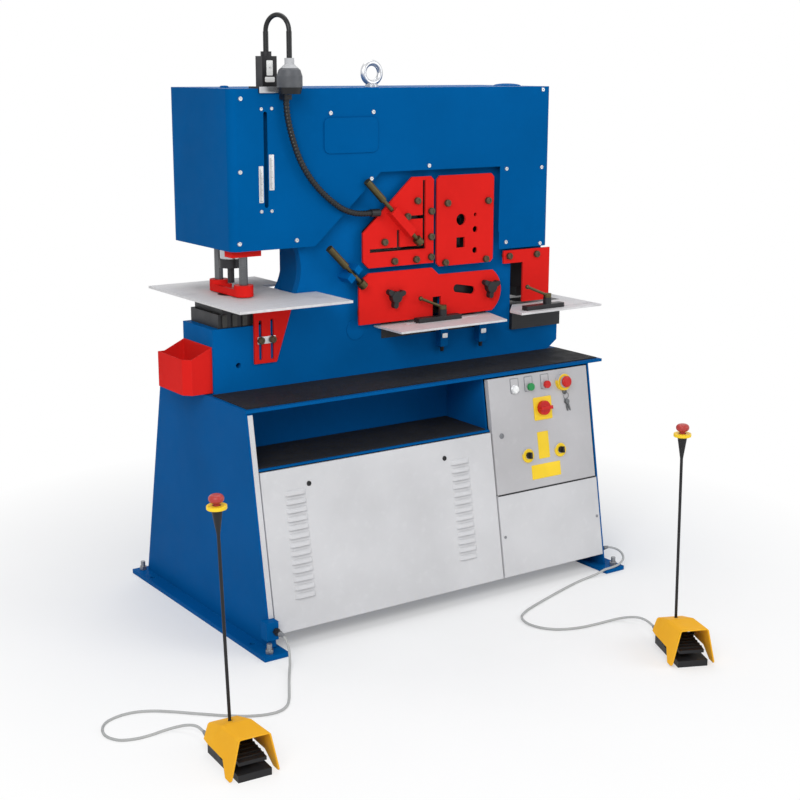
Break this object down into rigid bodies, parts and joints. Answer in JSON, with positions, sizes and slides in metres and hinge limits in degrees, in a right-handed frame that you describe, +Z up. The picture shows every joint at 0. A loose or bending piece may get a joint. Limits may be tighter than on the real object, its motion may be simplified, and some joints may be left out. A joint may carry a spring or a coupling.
{
  "type": "ironworker machine",
  "caption": "Hydraulic punching and shearing ironworker on a sheet cabinet, with guarded stations, work tables, gooseneck lamp and foot pedals on cords.",
  "frame": {"origin": "on the floor, at the centre of the four anchor holes in the foot plates", "axes": "+X along the machine to the operator's right, +Y to the rear, +Z up"},
  "size_m": [2.1569, 1.7424, 1.9285],
  "materials": {
    "cabinet_blue": "satin",
    "frame_blue": "satin",
    "cover_blue": "satin",
    "guard_red": "gloss",
    "panel_grey": "satin",
    "signal_yellow": "gloss",
    "steel": "ground",
    "table_steel": "ground",
    "tool_steel": "blackened",
    "blade_steel": "ground",
    "mat_black": "matt",
    "black_plastic": "matt",
    "hose_black": "matt",
    "cord_grey": "matt",
    "gland_grey": "matt",
    "lamp_grey": "satin",
    "red_plastic": "gloss",
    "green_plastic": "gloss",
    "pedal_base_black": "painted"
  },
  "bodies": {
    "machine": {"base_cabinet": "cabinet_blue", "levelling_screws": "steel", "work_tray": "cabinet_blue", "rubber_mats": "mat_black", "lower_cover": "panel_grey", "power_pack": "steel", "main_frame": "frame_blue", "upper_cover": "cover_blue", "eye_bolt": "steel", "lamp_base": "black_plastic", "lamp_neck": "black_plastic", "lamp_head": "lamp_grey", "flexible_conduit": "hose_black", "cylinders": "steel", "punch_yoke": "guard_red", "die_bolsters": "tool_steel", "punch_table": "table_steel", "table_bracket": "guard_red", "pivot_pin": "steel", "fixed_blades": "blade_steel", "angle_guard": "guard_red", "section_guard": "guard_red", "notch_guard": "guard_red", "guard_bolts": "steel", "flat_table": "table_steel", "notch_table": "table_steel", "pedal_hoods": "signal_yellow", "pedal_bases": "pedal_base_black", "left_cord": "cord_grey", "right_cord": "cord_grey", "cable_glands": "gland_grey"},
    "punch": {"punch_rod": "steel", "punch_tool": "tool_steel"},
    "stripper_set": {"stripper": "guard_red", "stripper_posts": "steel"},
    "shear_rod": {"shear_rod": "steel"},
    "shear_beam": {"shear_beam": "frame_blue", "moving_blades": "blade_steel"},
    "louvred_panel": {"louvred_panel": "panel_grey"},
    "control_door": {"control_door": "panel_grey"},
    "start_button": {"start_button": "green_plastic"},
    "stop_button": {"stop_button": "red_plastic"},
    "door_stop_button": {"door_stop_button": "red_plastic"},
    "main_switch": {"main_switch": "red_plastic"},
    "selector_left": {"selector_left": "black_plastic"},
    "selector_right": {"selector_right": "black_plastic"},
    "flat_guard": {"flat_guard": "guard_red"},
    "wing_knob_left": {"wing_knob_left": "black_plastic"},
    "wing_knob_right": {"wing_knob_right": "black_plastic"},
    "holddown_upper": {"holddown_upper": "tool_steel"},
    "holddown_lower": {"holddown_lower": "tool_steel"},
    "flat_stop": {"flat_stop": "tool_steel"},
    "flat_lever": {"flat_lever": "black_plastic"},
    "notch_stop": {"notch_stop": "tool_steel"},
    "notch_lever": {"notch_lever": "black_plastic"},
    "slug_bin": {"slug_bin": "guard_red"},
    "left_treadle": {"left_treadle": "black_plastic"},
    "right_treadle": {"right_treadle": "black_plastic"},
    "left_pole_button": {"left_pole_button": "red_plastic"},
    "right_pole_button": {"right_pole_button": "red_plastic"}
  },
  "joints": [
    {"name": "punch_stroke", "type": "slide", "parent": "machine", "child": "punch", "axis": [0, 0, -1], "range_m": [0, 0.045]},
    {"name": "stripper_height", "type": "slide", "parent": "machine", "child": "stripper_set", "axis": [0, 0, 1], "range_m": [0, 0.015]},
    {"name": "shear_swing", "type": "hinge", "parent": "machine", "child": "shear_beam", "pos_m": [-0.095, 0.049, 0.96], "axis": [0, 1, 0], "range_deg": [0, 2.6]},
    {"name": "shear_rod_slide", "type": "slide", "parent": "machine", "child": "shear_rod", "axis": [0, 0, -1], "range_m": [0, 0.0298]},
    {"name": "louvred_panel_hinge", "type": "hinge", "parent": "machine", "child": "louvred_panel", "pos_m": [0, -0.41548, 0.06322], "axis": [1, 0, 0], "range_deg": [0, 40]},
    {"name": "control_door_hinge", "type": "hinge", "parent": "machine", "child": "control_door", "pos_m": [0.67, -0.33285, 0.53605], "axis": [0, 0.1722, 0.9851], "range_deg": [0, 90]},
    {"name": "start_button_press", "type": "slide", "parent": "control_door", "child": "start_button", "axis": [0, 0.9851, -0.1722], "range_m": [0, 0.004], "stiffness_N_per_m": 900, "springref_m": -0.002},
    {"name": "stop_button_press", "type": "slide", "parent": "control_door", "child": "stop_button", "axis": [0, 0.9851, -0.1722], "range_m": [0, 0.004], "stiffness_N_per_m": 900, "springref_m": -0.002},
    {"name": "door_stop_button_press", "type": "slide", "parent": "control_door", "child": "door_stop_button", "axis": [0, 0.9851, -0.1722], "range_m": [0, 0.004], "stiffness_N_per_m": 900, "springref_m": -0.002},
    {"name": "main_switch_turn", "type": "hinge", "parent": "control_door", "child": "main_switch", "pos_m": [0.465, -0.32655, 0.60696], "axis": [0, -0.9851, 0.1722], "range_deg": [0, 90]},
    {"name": "selector_left_turn", "type": "hinge", "parent": "control_door", "child": "selector_left", "pos_m": [0.381, -0.35341, 0.45328], "axis": [0, -0.9851, 0.1722], "range_deg": [-45, 45]},
    {"name": "selector_right_turn", "type": "hinge", "parent": "control_door", "child": "selector_right", "pos_m": [0.527, -0.35341, 0.45328], "axis": [0, -0.9851, 0.1722], "range_deg": [-45, 45]},
    {"name": "flat_guard_height", "type": "slide", "parent": "machine", "child": "flat_guard", "axis": [0, 0, 1], "range_m": [0, 0.01]},
    {"name": "wing_knob_left_turn", "type": "hinge", "parent": "flat_guard", "child": "wing_knob_left", "pos_m": [0.002, -0.08, 1.008], "axis": [0, 1, 0], "range_deg": [-90, 90]},
    {"name": "wing_knob_right_turn", "type": "hinge", "parent": "flat_guard", "child": "wing_knob_right", "pos_m": [0.41, -0.08, 1.008], "axis": [0, 1, 0], "range_deg": [-90, 90]},
    {"name": "holddown_upper_feed", "type": "slide", "parent": "machine", "child": "holddown_upper", "axis": [0.7071, 0, -0.7071], "range_m": [0, 0.02]},
    {"name": "holddown_lower_feed", "type": "slide", "parent": "machine", "child": "holddown_lower", "axis": [0.7071, 0, -0.7071], "range_m": [0, 0.02]},
    {"name": "flat_stop_slide", "type": "slide", "parent": "machine", "child": "flat_stop", "axis": [1, 0, 0], "range_m": [-0.04, 0.04]},
    {"name": "flat_lever_turn", "type": "hinge", "parent": "flat_stop", "child": "flat_lever", "pos_m": [0.192, -0.106, 0.957], "axis": [0, 0, 1], "range_deg": [0, 120]},
    {"name": "notch_stop_slide", "type": "slide", "parent": "machine", "child": "notch_stop", "axis": [1, 0, 0], "range_m": [-0.03, 0.03]},
    {"name": "notch_lever_turn", "type": "hinge", "parent": "notch_stop", "child": "notch_lever", "pos_m": [0.589, -0.195, 0.972], "axis": [0, 0, 1], "range_deg": [0, 120]},
    {"name": "slug_bin_slide", "type": "slide", "parent": "machine", "child": "slug_bin", "axis": [-1, 0, 0], "range_m": [0, 0.12]},
    {"name": "left_treadle_hinge", "type": "hinge", "parent": "machine", "child": "left_treadle", "pos_m": [-1.11196, -0.98282, 0.052], "axis": [0.9976, -0.0698, 0], "range_deg": [0, 6], "stiffness_Nm_per_rad": 20, "springref_deg": -5.73},
    {"name": "left_pole_button_press", "type": "slide", "parent": "machine", "child": "left_pole_button", "axis": [0.0348, -0.0024, -0.9994], "range_m": [0, 0.005], "stiffness_N_per_m": 900, "springref_m": -0.004},
    {"name": "right_treadle_hinge", "type": "hinge", "parent": "machine", "child": "right_treadle", "pos_m": [0.36545, -1.12043, 0.052], "axis": [0.9135, -0.4067, 0], "range_deg": [0, 6], "stiffness_Nm_per_rad": 20, "springref_deg": -5.73},
    {"name": "right_pole_button_press", "type": "slide", "parent": "machine", "child": "right_pole_button", "axis": [0.012, -0.0053, -0.9999], "range_m": [0, 0.005], "stiffness_N_per_m": 900, "springref_m": -0.004}
  ],
  "couplings": [
    {"joint": "shear_rod_slide", "follows": "shear_swing", "m_per_rad": 0.655}
  ]
}
